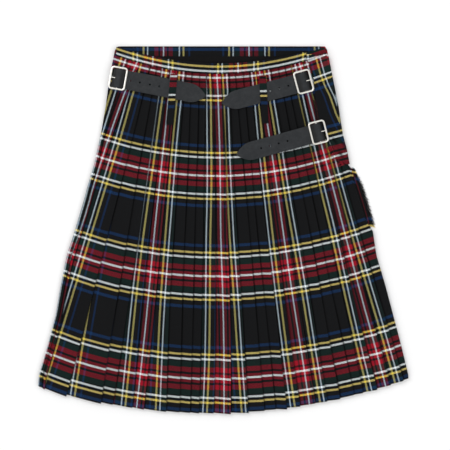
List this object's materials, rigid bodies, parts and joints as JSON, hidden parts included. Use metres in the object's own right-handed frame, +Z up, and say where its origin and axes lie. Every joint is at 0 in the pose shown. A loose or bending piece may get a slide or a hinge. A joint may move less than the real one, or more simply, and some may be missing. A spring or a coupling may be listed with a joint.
{
  "type": "pleated tartan kilt",
  "caption": "Knife-pleated wool kilt in a dark checked tartan, buckled with leather straps and laid flat with its pleated back up.",
  "frame": {"origin": "on the surface that the kilt lies on, under the middle of its outline", "axes": "+X to the wearer's right, +Y towards the waist, +Z up from the surface, through the aprons to the pleats"},
  "size_m": [0.6498, 0.645, 0.0163],
  "materials": {
    "tartan": "worsted wool twill, checked in red, green, blue, yellow and white on black",
    "lining": "plain black cotton lining",
    "leather": "dark grey-black grained leather, satin",
    "nickel": "polished nickel plate"
  },
  "bodies": {
    "root": {"over_apron": "tartan", "under_apron": "tartan", "front_lining": "lining", "pleated_back": "tartan", "waistband_back": "tartan", "waistband_apron": "tartan", "belt_loop_left": "tartan", "belt_loop_right": "tartan", "strap_left": "leather", "strap_right": "leather", "strap_lower": "leather", "buckle_left": "nickel", "buckle_right": "nickel", "buckle_lower": "nickel", "prong_left": "nickel", "prong_right": "nickel", "prong_lower": "nickel", "apron_fringe_upper": "tartan", "apron_fringe_lower": "tartan", "apron_fringe_side": "tartan"}
  },
  "joints": []
}
